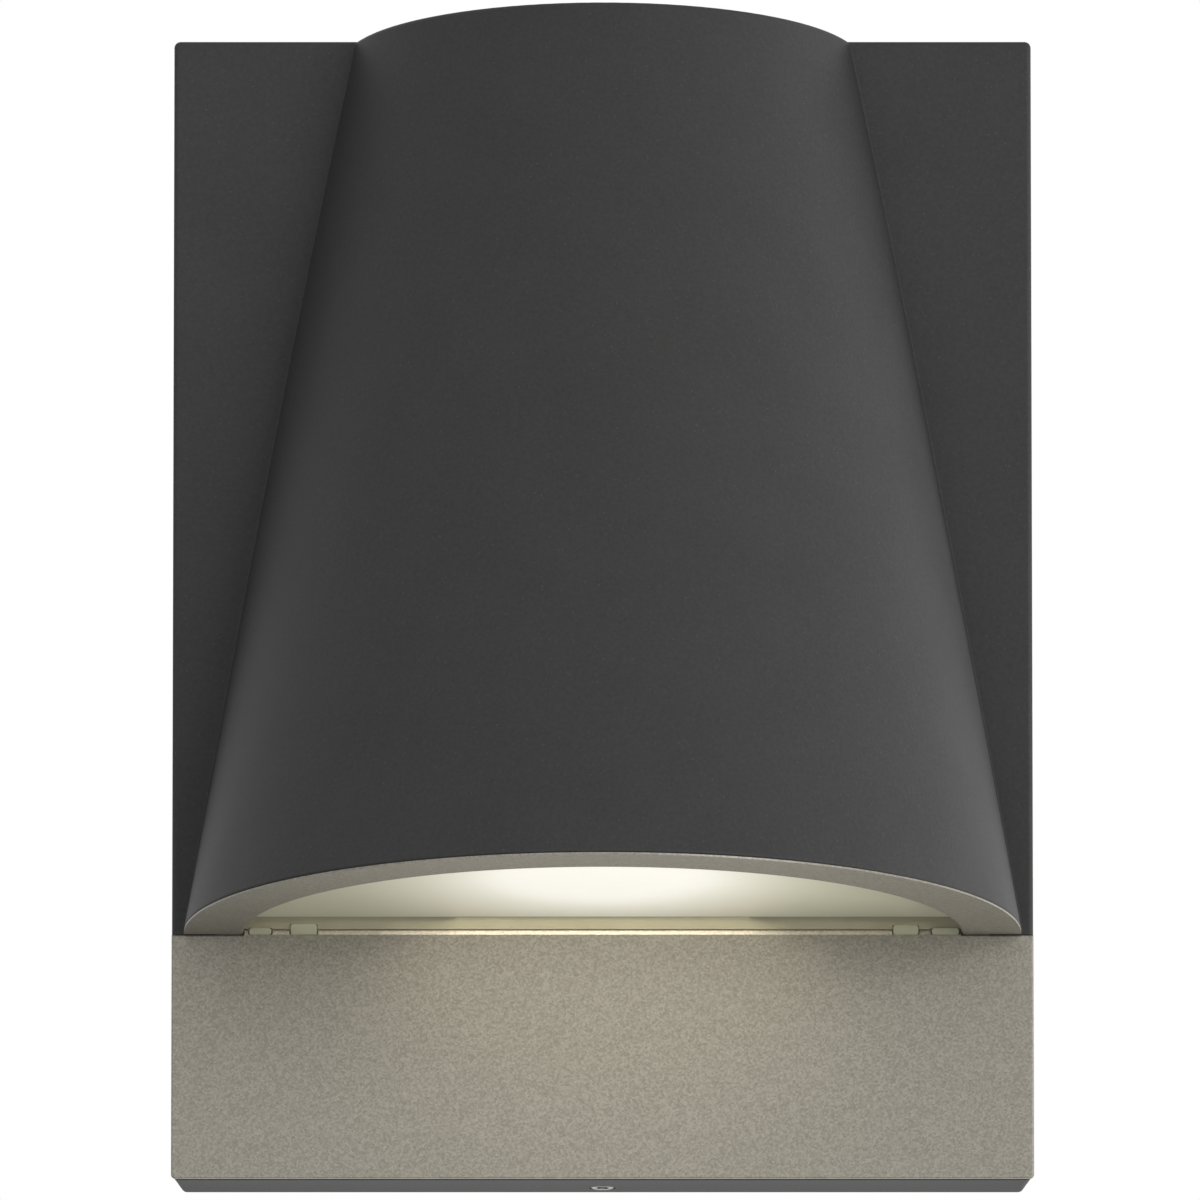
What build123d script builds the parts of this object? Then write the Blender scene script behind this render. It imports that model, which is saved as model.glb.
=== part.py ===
from build123d import *
import math
import os

# Wall light: a flat back box with a tapered half-round hood that shines down.
# All sizes in mm. X is to the right, Z is up, the wall is the plane Y = 0 and the front faces -Y.
# "depth" is the distance in front of the wall. The origin is the middle of the wall screws.

os.makedirs("parts", exist_ok=True)

# Back box
box_width = 135.0
box_height = 182.3
box_front = 20.0
rim_depth = 1.0
box_draw_in = 1.35
box_corner = 1.0
box_edge = 0.7
box_top = box_height / 2
box_bottom = -box_height / 2
wall = 4.0
side_wall = 5.3
pocket_half = box_width / 2 - side_wall
seat_depth = 10.0
front_inner = box_front - wall
hollow_top = box_top - wall

# Fits
clear = 0.3
touch = 0.05
screw_clear = 0.1
M25 = 1.25
M3 = 1.5
M4 = 2.0

# Hood: two level circles of different sizes, joined by a straight slanting wall
panel_height = 38.85
hood_margin = 1.8
mouth_z = box_bottom + panel_height
mouth_radius = box_width / 2 - hood_margin
mouth_centre = box_front - 0.7
crown_radius = 40.8
crown_centre = box_front - 12.8
hood_wall = 3.0
hood_blend = 0.3
crown_edge = 0.8
mouth_edge = 0.4


def hood_share(height):
    return (height - mouth_z) / (box_top - mouth_z)


def hood_radius(height):
    return mouth_radius + (crown_radius - mouth_radius) * hood_share(height)


def hood_centre(height):
    return mouth_centre + (crown_centre - mouth_centre) * hood_share(height)


# Bezel and lens
lip = 0.8
flange = 0.3
bezel_thick = 2.4
bezel_inner = mouth_radius - 9.4
opening_centre = mouth_centre - 1.4
bezel_back = 13.0
bezel_half = mouth_radius - 5.0
bar_front = box_front - 1.3
bezel_top = mouth_z + bezel_thick
gasket_thick = 0.6
glass_thick = 4.0
glass_radius = mouth_radius - 5.6
glass_back = box_front - 2.5
glass_low = bezel_top + gasket_thick
glass_high = glass_low + glass_thick
sill_front = glass_back - 0.5
sill_top = glass_high + 1.3
bezel_screw_points = [(side * 0.6 * bezel_half, -15.5) for side in (-1, 1)]
pads = [
    (2.7 - bezel_inner, 3.4, 1.1),
    (9.5 - bezel_inner, 4.1, 1.7),
    (bezel_inner - 8.8, 3.9, 1.5),
    (bezel_inner - 2.6, 4.2, 1.1),
]
pad_thick = 1.0
apron_thick = 0.5

# Lower panel
panel_thick = 2.0
panel_top = mouth_z - touch
panel_wall_front = 13.0
panel_edge = 0.3
panel_corner = 0.8
panel_bevel = 1.4
lip_height = 0.8
lip_back = bar_front + 0.2
lip_half = bezel_inner - 0.2
apron_low = mouth_z + lip_height + 0.2
panel_boss_radius = 3.5
panel_screw_x = pocket_half - 10.0
panel_screw_points = [
    (x, z) for x in (-panel_screw_x, panel_screw_x) for z in (mouth_z - 11.0, box_bottom + 10.0)
]

# Dry room opening: straight low sides, then narrowing upwards with the hood
room_half_low = pocket_half - 5.7
room_half_high = crown_radius - 2.3
room_knee = sill_top + 6.5
room_top = box_top - 18.0
seat_width = 6.0
cover_inset = 0.5
cover_thick = 1.5
cover_gasket_thick = 1.0
cover_front = seat_depth - cover_gasket_thick
cover_back = cover_front - cover_thick
room_outline = [
    (-room_half_low, sill_top),
    (room_half_low, sill_top),
    (room_half_low, room_knee),
    (room_half_high, room_top),
    (-room_half_high, room_top),
    (-room_half_low, room_knee),
]
side_lean = math.atan((room_half_low - room_half_high) / (room_top - room_knee))
side_mid_z = (room_knee + room_top) / 2
side_mid_half = (room_half_low + room_half_high) / 2
seat_mid = seat_width / 2
cover_screw_points = [
    (side * x, z)
    for side in (-1, 1)
    for x, z in (
        (room_half_low - 8.5, sill_top - seat_mid),
        (side_mid_half + seat_mid * math.cos(side_lean), side_mid_z + seat_mid * math.sin(side_lean)),
        (room_half_high - 6.0, room_top + seat_mid),
    )
]

# Lamp: heat plate, pad, board, chips and reflector, stacked downwards inside the hood
chip_thick = 0.8
board_thick = 1.6
heat_pad_thick = 0.5
heat_thick = 4.0
reflector_height = 15.2
board_low = glass_high + reflector_height
board_top = board_low + board_thick
heat_low = board_top + heat_pad_thick
heat_top = heat_low + heat_thick
heat_radius = hood_radius(heat_top) - hood_wall - 3.0
heat_back = box_front + 4.0
board_width = 1.04 * mouth_radius
board_depth = 0.46 * mouth_radius
board_middle = box_front + 0.32 * mouth_radius
reflector_wall = 1.5
reflector_low_radius = hood_radius(glass_high) - hood_wall - 2.6
reflector_top_radius = hood_radius(board_low) - hood_wall - 6.0
reflector_back = box_front + 1.5
window_width = board_width - 6.0
window_depth = board_depth - 6.0
lug_height = 10.0
lug_depth = 14.0
lug_inner = heat_radius - 11.0
lug_middle = box_front + 13.0
heat_screw_points = [(side * (lug_inner + 4.5), 1.0 - lug_middle) for side in (-1, 1)]
board_screw_points = [(side * (board_width / 2 - 7.0), -board_middle) for side in (-1, 1)]
led_wire_x = 20.0
led_wire_depth = board_middle - board_depth / 2 + 4.0
wire_hole = 2.4
earth_point = (0.0, -led_wire_depth - 2.0)

# Driver, terminals and supply entry on the back cover
driver_width = 36.0
driver_depth = 22.0
driver_ear = 7.0
terminal_low = heat_top + 2.0
terminal_high = terminal_low + 12.0
driver_low = terminal_high + 15.0
driver_high = room_top - driver_ear - 4.0
driver_ear_thick = 2.0
driver_standoff = 5.0
driver_back = cover_front + driver_standoff
driver_screw_points = [(0.0, driver_low - driver_ear / 2), (0.0, driver_high + driver_ear / 2)]
terminal_width = 30.0
terminal_depth = 12.0
terminal_points = [(x, (terminal_low + terminal_high) / 2) for x in (-9.0, 0.0, 9.0)]
terminal_well = 1.5
inlet_z = mouth_z + 18.3
inlet_bore = 3.5
inlet_sleeve = 6.0
inlet_flange = 8.0
wire_radius = 0.8

# Wall bracket
bracket_thick = 2.0
strap_half = 20.0
strap_top = hollow_top - 0.4
strap_bottom = box_bottom + 9.0
crossbar_width = 108.0
crossbar_height = 40.0
bolt_spacing = 88.9
slot_length = 14.0
slot_width = 5.2
cable_hole = 12.0
hook_reach = 11.0
foot_reach = 9.0
bend = 1.5
bracket_earth_point = (13.0, 13.0)

# Lock screw: M4 grub screw up through the underside, onto the foot of the bracket
lock_radius = 2.0
lock_depth = 6.7
lock_boss = 5.0
lock_boss_top = strap_bottom - 2.0
lock_low = box_bottom + box_draw_in * (box_front - lock_depth) / (box_front - rim_depth)
lock_high = strap_bottom - clear

beyond = 2 * box_height


def upright(depth):
    """Plane parallel to the wall; its normal points out of the wall."""
    return Plane.XZ.offset(depth)


def inward(depth):
    """The same plane with its normal towards the wall; its x runs to the left, its y up."""
    return Plane(origin=(0, -depth, 0), x_dir=(-1, 0, 0), z_dir=(0, 1, 0))


def level(height):
    return Plane.XY.offset(height)


def upside_down(height):
    return Plane(origin=(0, 0, height), x_dir=(1, 0, 0), z_dir=(0, 0, -1))


def half_disc(radius, centre, back):
    """Disc seen from above, cut straight at the given depth in front of the wall."""
    with Locations((0, -centre)):
        Circle(radius)
    with Locations((0, beyond / 2 - back)):
        Rectangle(beyond, beyond, mode=Mode.SUBTRACT)


def hood_form(low, high, low_radius, high_radius, back):
    """Slanting half cone between two heights, following the hood's axis."""
    ends = []
    for height, radius in ((low, low_radius), (high, high_radius)):
        with BuildSketch(level(height)) as end:
            with Locations((0, -hood_centre(height))):
                Circle(radius)
        ends.append(end.sketch)
    loft(ends, ruled=True)
    split(bisect_by=upright(back), keep=Keep.TOP)


def drill(plane, points, radius, length):
    with BuildSketch(plane) as holes:
        with Locations(*points):
            Circle(radius)
    extrude(holes.sketch, amount=length, mode=Mode.SUBTRACT)


def pan_screws(plane, points, radius, length):
    """Cross-head screws whose heads bear on the plane; the shanks follow its normal."""
    head_radius = radius * 1.85
    head_height = radius * 1.3
    with BuildSketch(plane) as shanks:
        with Locations(*points):
            Circle(radius)
    extrude(shanks.sketch, amount=length)
    with BuildSketch(plane) as heads:
        with Locations(*points):
            Circle(head_radius)
    extrude(heads.sketch, amount=-head_height)
    with BuildSketch(plane.offset(-head_height)) as crosses:
        with Locations(*points):
            Rectangle(radius * 1.9, radius * 0.45)
            Rectangle(radius * 0.45, radius * 1.9)
    extrude(crosses.sketch, amount=head_height * 0.6, mode=Mode.SUBTRACT)


def wire(points, radii):
    """Round wire along straight runs joined by tangent bends."""
    with BuildLine() as run:
        FilletPolyline(*points, radius=radii)
    with BuildSketch(Plane(origin=run.line @ 0, z_dir=run.line % 0)) as section:
        Circle(wire_radius)
    sweep(section.sketch, path=run.line)


# Hood and the hollow inside it, as two forms used by the housing
with BuildPart() as hood:
    rim_low = mouth_z + flange
    hood_form(rim_low, box_top, hood_radius(rim_low), crown_radius, box_front - 0.5)
    fillet(hood.faces().sort_by(Axis.Z)[-1].edges().filter_by(GeomType.CIRCLE), crown_edge)
    fillet(hood.faces().sort_by(Axis.Z)[0].edges().filter_by(GeomType.CIRCLE), mouth_edge)
    # rebate for the bezel ring
    with BuildSketch(level(mouth_z)):
        half_disc(mouth_radius - lip, mouth_centre, box_front)
    extrude(amount=bezel_thick, mode=Mode.SUBTRACT)

with BuildPart() as hood_hollow:
    hood_form(
        mouth_z,
        hollow_top,
        mouth_radius - hood_wall,
        hood_radius(hollow_top) - hood_wall,
        box_front,
    )

# Housing: one aluminium casting with the box, the hood, the cover seat and the screw bosses
with BuildPart() as housing:
    with BuildSketch(inward(box_front)):
        Rectangle(box_width, box_height)
    extrude(
        amount=box_front - rim_depth,
        taper=math.degrees(math.atan(box_draw_in / (box_front - rim_depth))),
    )
    front_face = housing.faces().sort_by(Axis.Y)[0]
    back_face = housing.faces().sort_by(Axis.Y)[-1]
    corner_edges = housing.edges() - front_face.edges() - back_face.edges()
    fillet(corner_edges, box_corner)
    fillet(housing.faces().sort_by(Axis.Y)[0].edges(), box_edge)
    add(hood.part)
    on_front = housing.edges().filter_by(lambda e: abs(e.center().Y + box_front) < 0.01)
    seam_edges = on_front.filter_by(GeomType.LINE, reverse=True).filter_by(
        lambda e: e.length > 0.9 * (box_top - mouth_z)
    )
    fillet(seam_edges, hood_blend)

    # hollow of the hood, the dry room behind it and the pocket round its seat
    add(hood_hollow.part, mode=Mode.SUBTRACT)
    with BuildSketch(upright(seat_depth)):
        with BuildLine():
            Polyline(*room_outline, close=True)
        make_face()
    extrude(amount=box_front - seat_depth + 0.5, mode=Mode.SUBTRACT)
    with BuildSketch(upright(seat_depth)):
        pocket_low = room_knee + 6.6
        with Locations((0, (hollow_top + pocket_low) / 2)):
            Rectangle(2 * pocket_half, hollow_top - pocket_low)
        with BuildSketch(mode=Mode.PRIVATE) as seat_ring:
            with BuildLine():
                Polyline(*room_outline, close=True)
            make_face()
            offset(amount=seat_width, kind=Kind.INTERSECTION)
        add(seat_ring.sketch, mode=Mode.SUBTRACT)
    extrude(amount=front_inner - seat_depth, mode=Mode.SUBTRACT)
    with BuildSketch(upright(rim_depth)):
        Rectangle(2 * pocket_half, 2 * hollow_top)
    extrude(amount=seat_depth - rim_depth, mode=Mode.SUBTRACT)

    # step for the lower panel and the shallow recess behind it
    with BuildSketch(upright(box_front - panel_thick - clear)):
        with Locations((0, (mouth_z + box_bottom) / 2 - 5)):
            Rectangle(box_width + 10, mouth_z - box_bottom + 10)
    extrude(amount=10, mode=Mode.SUBTRACT)
    with BuildSketch(upright(panel_wall_front)):
        with Locations((0, (mouth_z + box_bottom + wall) / 2)):
            Rectangle(2 * pocket_half, mouth_z - box_bottom - wall)
    extrude(amount=box_front - panel_wall_front, mode=Mode.SUBTRACT)

    # slot for the bar of the bezel and seat for the back edge of the glass
    with BuildSketch(level(mouth_z)):
        with Locations((0, -(panel_wall_front + box_front + 0.5) / 2)):
            Rectangle(2 * (bezel_half + clear), box_front + 0.5 - panel_wall_front)
    extrude(amount=bezel_thick, mode=Mode.SUBTRACT)
    with BuildSketch(level(bezel_top)):
        with Locations((0, -(sill_front + box_front + 0.5) / 2)):
            Rectangle(2 * (glass_radius + 0.5), box_front + 0.5 - sill_front)
    extrude(amount=sill_top - bezel_top, mode=Mode.SUBTRACT)

    # two lugs inside the hood for the heat plate
    with BuildSketch(level(heat_top)):
        with Locations((-lug_inner - 8, -lug_middle), (lug_inner + 8, -lug_middle)):
            Rectangle(16, lug_depth)
        with Locations((0, -hood_centre(heat_top + lug_height))):
            Circle(hood_radius(heat_top + lug_height) - 0.5, mode=Mode.INTERSECT)
    extrude(amount=lug_height)

    # boss for the lock screw
    with BuildSketch(level(box_bottom + wall - 1)):
        with Locations((0, -lock_depth)):
            Rectangle(2 * lock_boss, 2 * (seat_depth - lock_depth))
    extrude(amount=lock_boss_top - (box_bottom + wall - 1))

    # screw holes
    drill(upright(seat_depth), cover_screw_points, M3 + screw_clear, 6.0)
    drill(upright(seat_depth), panel_screw_points, M3 + screw_clear, 4.0)
    drill(level(bezel_top - 0.5), bezel_screw_points, M25 + screw_clear, 5.5)
    drill(level(heat_top), heat_screw_points, M3 + screw_clear, 7.0)
    drill(level(box_bottom - 1), [(0, -lock_depth)], lock_radius + screw_clear, 10.0)
housing.part.label = "housing"
export_step(housing.part, "parts/housing.step")

# Lower panel: champagne front plate with four bosses behind it
with BuildPart() as lower_panel:
    panel_back = box_front - panel_thick
    with BuildSketch(upright(panel_back)):
        with Locations((0, (panel_top + box_bottom) / 2)):
            Rectangle(box_width, panel_top - box_bottom)
    extrude(amount=panel_thick)
    fillet(lower_panel.edges().filter_by(Axis.Y).group_by(Axis.Z)[0], panel_corner)
    fillet(lower_panel.faces().sort_by(Axis.Y)[0].edges(), panel_edge)
    # bevel behind the bottom edge, which leaves a shadow line above the underside of the box
    with BuildSketch(Plane.YZ.offset(-box_width / 2)):
        with BuildLine():
            Polyline(
                (-panel_back, box_bottom),
                (-panel_back - panel_bevel, box_bottom),
                (-panel_back, box_bottom + panel_bevel),
                close=True,
            )
        make_face()
    extrude(amount=box_width, mode=Mode.SUBTRACT)
    # low lip with a bevelled front along the lens, notched for the soft pads
    with BuildSketch(Plane.YZ.offset(-lip_half)):
        with BuildLine():
            Polyline(
                (-lip_back, mouth_z - lip_height),
                (-box_front, mouth_z - lip_height),
                (-box_front, mouth_z),
                (lip_height - box_front, mouth_z + lip_height),
                (-lip_back, mouth_z + lip_height),
                close=True,
            )
        make_face()
    extrude(amount=2 * lip_half)
    for pad_x, pad_width, _ in pads:
        with BuildSketch(upright(panel_back)):
            with Locations((pad_x, mouth_z + lip_height)):
                Rectangle(pad_width + 0.4, 2 * lip_height)
        extrude(amount=panel_thick, mode=Mode.SUBTRACT)
    with BuildSketch(upright(panel_wall_front)):
        with Locations(*panel_screw_points):
            Circle(panel_boss_radius)
    extrude(amount=panel_back - panel_wall_front)
    drill(upright(panel_wall_front), panel_screw_points, M3 + screw_clear, 5.5)
lower_panel.part.label = "lower_panel"
export_step(lower_panel.part, "parts/lower_panel.step")

with BuildPart() as panel_screws:
    pan_screws(upright(seat_depth), panel_screw_points, M3, 8.0)
panel_screws.part.label = "panel_screws"
export_step(panel_screws.part, "parts/panel_screws.step")

# Lens bezel: D-shaped frame, a half ring in the mouth and a straight bar behind it.
# A thin flange at the bottom of the ring covers the rim of the hood.
with BuildPart() as lens_bezel:
    ring_outer = mouth_radius - lip - 0.2
    for low, high, radius in ((0, flange, mouth_radius - 0.1), (flange, bezel_thick, ring_outer)):
        with BuildSketch(level(mouth_z + low)):
            half_disc(radius, mouth_centre, box_front + 0.2)
            with Locations((0, -(bezel_back + clear + box_front + 1) / 2)):
                Rectangle(2 * bezel_half, box_front + 1 - bezel_back - clear)
            with BuildSketch(mode=Mode.PRIVATE) as lens_opening:
                half_disc(bezel_inner, opening_centre, bar_front)
            add(lens_opening.sketch, mode=Mode.SUBTRACT)
        extrude(amount=high - low)
    inner_edges = (
        lens_bezel.faces().sort_by(Axis.Z)[0].inner_wires()[0].edges().filter_by(GeomType.CIRCLE)
    )
    fillet(inner_edges, 0.5)
    drill(level(mouth_z), bezel_screw_points, M25 + screw_clear, bezel_thick)
lens_bezel.part.label = "lens_bezel"
export_step(lens_bezel.part, "parts/lens_bezel.step")

with BuildPart() as bezel_screws:
    pan_screws(level(mouth_z), bezel_screw_points, M25, bezel_thick + 4.5)
bezel_screws.part.label = "bezel_screws"
export_step(bezel_screws.part, "parts/bezel_screws.step")

# Lens gasket: flat silicone D ring between the bezel and the glass, with an apron that hangs
# in front of the bar and is cut out round the soft pads
with BuildPart() as lens_gasket:
    with BuildSketch(level(bezel_top)):
        half_disc(glass_radius, mouth_centre, glass_back)
        with BuildSketch(mode=Mode.PRIVATE) as gasket_opening:
            half_disc(bezel_inner + 1.4, opening_centre, bar_front)
        add(gasket_opening.sketch, mode=Mode.SUBTRACT)
    extrude(amount=gasket_thick)
    with BuildSketch(upright(bar_front)):
        with Locations((0, (apron_low + glass_low) / 2)):
            Rectangle(2 * lip_half, glass_low - apron_low)
        for pad_x, pad_width, pad_height in pads:
            with Locations((pad_x, mouth_z + pad_height / 2)):
                Rectangle(pad_width + 0.2, pad_height + 0.2, mode=Mode.SUBTRACT)
    extrude(amount=apron_thick)
lens_gasket.part.label = "lens_gasket"
export_step(lens_gasket.part, "parts/lens_gasket.step")

with BuildPart() as lens_glass:
    with BuildSketch(level(glass_low)):
        half_disc(glass_radius, mouth_centre, glass_back)
    extrude(amount=glass_thick)
    chamfer(lens_glass.faces().sort_by(Axis.Z)[0].edges(), 0.4)
lens_glass.part.label = "lens_glass"
export_step(lens_glass.part, "parts/lens_glass.step")

# Lens pads: soft blocks on the front of the bar, near the two back corners of the lens
with BuildPart() as lens_pads:
    for pad_x, pad_width, pad_height in pads:
        with BuildSketch(upright(bar_front)):
            with Locations((pad_x, mouth_z + pad_height / 2)):
                RectangleRounded(pad_width, pad_height, 0.4)
        extrude(amount=pad_thick)
lens_pads.part.label = "lens_pads"
export_step(lens_pads.part, "parts/lens_pads.step")

# Heat plate: aluminium half disc under the two lugs of the hood
with BuildPart() as heat_plate:
    with BuildSketch(level(heat_low)):
        half_disc(heat_radius, hood_centre(heat_top), heat_back)
        with Locations((-led_wire_x, -led_wire_depth), (led_wire_x, -led_wire_depth)):
            Circle(wire_hole, mode=Mode.SUBTRACT)
        with Locations(earth_point):
            Circle(M4 + screw_clear, mode=Mode.SUBTRACT)
        with Locations(*board_screw_points):
            Circle(M25 + screw_clear, mode=Mode.SUBTRACT)
        with Locations(*heat_screw_points):
            Circle(M3 + screw_clear, mode=Mode.SUBTRACT)
    extrude(amount=heat_thick)
heat_plate.part.label = "heat_plate"
export_step(heat_plate.part, "parts/heat_plate.step")

with BuildPart() as heat_plate_screws:
    pan_screws(level(heat_low), heat_screw_points, M3, heat_thick + 6.0)
heat_plate_screws.part.label = "heat_plate_screws"
export_step(heat_plate_screws.part, "parts/heat_plate_screws.step")

with BuildPart() as thermal_pad:
    with BuildSketch(level(board_top)):
        with Locations((0, -board_middle)):
            Rectangle(board_width, board_depth)
        with Locations((-led_wire_x, -led_wire_depth), (led_wire_x, -led_wire_depth)):
            Circle(wire_hole, mode=Mode.SUBTRACT)
        with Locations(*board_screw_points):
            Circle(M25 + screw_clear, mode=Mode.SUBTRACT)
        with Locations(earth_point):
            Circle(M4 + 0.5, mode=Mode.SUBTRACT)
    extrude(amount=heat_pad_thick)
thermal_pad.part.label = "thermal_pad"
export_step(thermal_pad.part, "parts/thermal_pad.step")

with BuildPart() as led_board:
    with BuildSketch(level(board_low)):
        with Locations((0, -board_middle)):
            RectangleRounded(board_width, board_depth, 2)
        with Locations(*board_screw_points):
            Circle(M25 + screw_clear, mode=Mode.SUBTRACT)
    extrude(amount=board_thick)
led_board.part.label = "led_board"
export_step(led_board.part, "parts/led_board.step")

with BuildPart() as led_chips:
    with BuildSketch(level(board_low)):
        with Locations((0, -board_middle)):
            with GridLocations(8, 9, 6, 2):
                Rectangle(3.5, 2.8)
    extrude(amount=-chip_thick)
led_chips.part.label = "led_chips"
export_step(led_chips.part, "parts/led_chips.step")

with BuildPart() as led_board_screws:
    pan_screws(level(board_low), board_screw_points, M25, board_thick + heat_pad_thick + heat_thick - 0.5)
led_board_screws.part.label = "led_board_screws"
export_step(led_board_screws.part, "parts/led_board_screws.step")

# Reflector: white half-round shade between the board and the glass, with a window for the chips
with BuildPart() as reflector_hollow:
    hood_form(
        glass_high - 0.01,
        board_low - reflector_wall,
        reflector_low_radius - reflector_wall,
        reflector_top_radius - reflector_wall,
        reflector_back + reflector_wall,
    )

with BuildPart() as reflector:
    hood_form(glass_high, board_low, reflector_low_radius, reflector_top_radius, reflector_back)
    add(reflector_hollow.part, mode=Mode.SUBTRACT)
    with BuildSketch(level(board_low - 2 * reflector_wall)):
        with Locations((0, -board_middle)):
            Rectangle(window_width, window_depth)
    extrude(amount=2 * reflector_wall, mode=Mode.SUBTRACT)
reflector.part.label = "reflector"
export_step(reflector.part, "parts/reflector.step")

# Back cover: sheet lid of the dry room, with two standoffs for the driver
with BuildPart() as back_cover:
    with BuildSketch(upright(cover_back)):
        with BuildLine():
            Polyline(*room_outline, close=True)
        make_face()
        offset(amount=seat_width - cover_inset, kind=Kind.INTERSECTION)
        with Locations(*cover_screw_points):
            Circle(M3 + screw_clear, mode=Mode.SUBTRACT)
        with Locations((0, inlet_z)):
            Circle(inlet_sleeve, mode=Mode.SUBTRACT)
    extrude(amount=cover_thick)
    with BuildSketch(upright(cover_front)):
        with Locations(*driver_screw_points):
            Circle(4.0)
    extrude(amount=driver_standoff)
    drill(upright(driver_back).offset(-driver_standoff + 0.5), driver_screw_points, M3 + screw_clear, 10)
back_cover.part.label = "back_cover"
export_step(back_cover.part, "parts/back_cover.step")

with BuildPart() as cover_gasket:
    with BuildSketch(upright(cover_front)):
        with BuildLine():
            Polyline(*room_outline, close=True)
        make_face()
        offset(amount=seat_width - cover_inset, kind=Kind.INTERSECTION)
        with BuildSketch(mode=Mode.PRIVATE) as room_sketch:
            with BuildLine():
                Polyline(*room_outline, close=True)
            make_face()
            offset(amount=cover_inset, kind=Kind.INTERSECTION)
        add(room_sketch.sketch, mode=Mode.SUBTRACT)
        with Locations(*cover_screw_points):
            Circle(M3 + screw_clear, mode=Mode.SUBTRACT)
    extrude(amount=cover_gasket_thick)
cover_gasket.part.label = "cover_gasket"
export_step(cover_gasket.part, "parts/cover_gasket.step")

with BuildPart() as cover_screws:
    pan_screws(upright(cover_back), cover_screw_points, M3, 7.5)
cover_screws.part.label = "cover_screws"
export_step(cover_screws.part, "parts/cover_screws.step")

# Cable grommet: rubber sleeve snapped into the cover, the way in for the supply cable
with BuildPart() as cable_grommet:
    with BuildSketch(upright(cover_back - 1.5)):
        with Locations((0, inlet_z)):
            Circle(inlet_flange)
    extrude(amount=1.5)
    with BuildSketch(upright(cover_back)):
        with Locations((0, inlet_z)):
            Circle(inlet_sleeve)
    extrude(amount=cover_thick)
    with BuildSketch(upright(cover_front)):
        with Locations((0, inlet_z)):
            Circle(inlet_flange)
    extrude(amount=2.5, taper=25)
    drill(upright(cover_back - 2), [(0, inlet_z)], inlet_bore, 10)
cable_grommet.part.label = "cable_grommet"
export_step(cable_grommet.part, "parts/cable_grommet.step")

with BuildPart() as driver:
    with BuildSketch(upright(driver_back)):
        with Locations((0, (driver_low + driver_high) / 2)):
            Rectangle(driver_width, driver_high - driver_low)
    extrude(amount=driver_depth)
    fillet(driver.edges().filter_by(Axis.Z), 2)
    with BuildSketch(upright(driver_back)):
        with Locations((0, (driver_low + driver_high) / 2)):
            Rectangle(10, driver_high - driver_low + 2 * driver_ear)
    extrude(amount=driver_ear_thick)
    drill(upright(driver_back), driver_screw_points, M3 + screw_clear, driver_ear_thick)
driver.part.label = "driver"
export_step(driver.part, "parts/driver.step")

with BuildPart() as driver_screws:
    pan_screws(inward(driver_back + driver_ear_thick), driver_screw_points, M3, 6.0)
driver_screws.part.label = "driver_screws"
export_step(driver_screws.part, "parts/driver_screws.step")

with BuildPart() as terminal_block:
    terminal_mid = (terminal_low + terminal_high) / 2
    with BuildSketch(upright(cover_front)):
        with Locations((0, terminal_mid)):
            Rectangle(terminal_width, terminal_high - terminal_low)
        with Locations((0, terminal_mid)):
            with GridLocations(9, terminal_high - terminal_low, 2, 2):
                Rectangle(1.2, 3, mode=Mode.SUBTRACT)
    extrude(amount=terminal_depth)
    drill(upright(cover_front + terminal_depth - 4), terminal_points, 2.4, 4)
terminal_block.part.label = "terminal_block"
export_step(terminal_block.part, "parts/terminal_block.step")

with BuildPart() as terminal_screws:
    with BuildSketch(upright(cover_front + terminal_depth - 4)):
        with Locations(*terminal_points):
            Circle(2.2)
    extrude(amount=4 - terminal_well)
    with BuildSketch(upright(cover_front + terminal_depth - terminal_well)):
        with Locations(*terminal_points):
            Rectangle(3.6, 0.7)
    extrude(amount=-0.8, mode=Mode.SUBTRACT)
terminal_screws.part.label = "terminal_screws"
export_step(terminal_screws.part, "parts/terminal_screws.step")

# Leads inside the dry room
supply_depth = 15.0
lead_depth = 27.0
with BuildPart() as live_lead:
    wire(
        [
            (-9, -supply_depth, terminal_high),
            (-9, -supply_depth, terminal_high + 7),
            (-9, -lead_depth, terminal_high + 7),
            (-9, -lead_depth, driver_low),
        ],
        [3, 3],
    )
live_lead.part.label = "live_lead"
export_step(live_lead.part, "parts/live_lead.step")

with BuildPart() as neutral_lead:
    wire(
        [
            (9, -supply_depth, terminal_high),
            (9, -supply_depth, terminal_high + 7),
            (9, -lead_depth, terminal_high + 7),
            (9, -lead_depth, driver_low),
        ],
        [3, 3],
    )
neutral_lead.part.label = "neutral_lead"
export_step(neutral_lead.part, "parts/neutral_lead.step")

with BuildPart() as led_lead_positive:
    wire(
        [
            (-14, -led_wire_depth, driver_low),
            (-14, -led_wire_depth, driver_low - 10),
            (-led_wire_x, -led_wire_depth, driver_low - 18),
            (-led_wire_x, -led_wire_depth, board_top),
        ],
        [4, 4],
    )
led_lead_positive.part.label = "led_lead_positive"
export_step(led_lead_positive.part, "parts/led_lead_positive.step")

with BuildPart() as led_lead_negative:
    wire(
        [
            (14, -led_wire_depth, driver_low),
            (14, -led_wire_depth, driver_low - 10),
            (led_wire_x, -led_wire_depth, driver_low - 18),
            (led_wire_x, -led_wire_depth, board_top),
        ],
        [4, 4],
    )
led_lead_negative.part.label = "led_lead_negative"
export_step(led_lead_negative.part, "parts/led_lead_negative.step")

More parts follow.
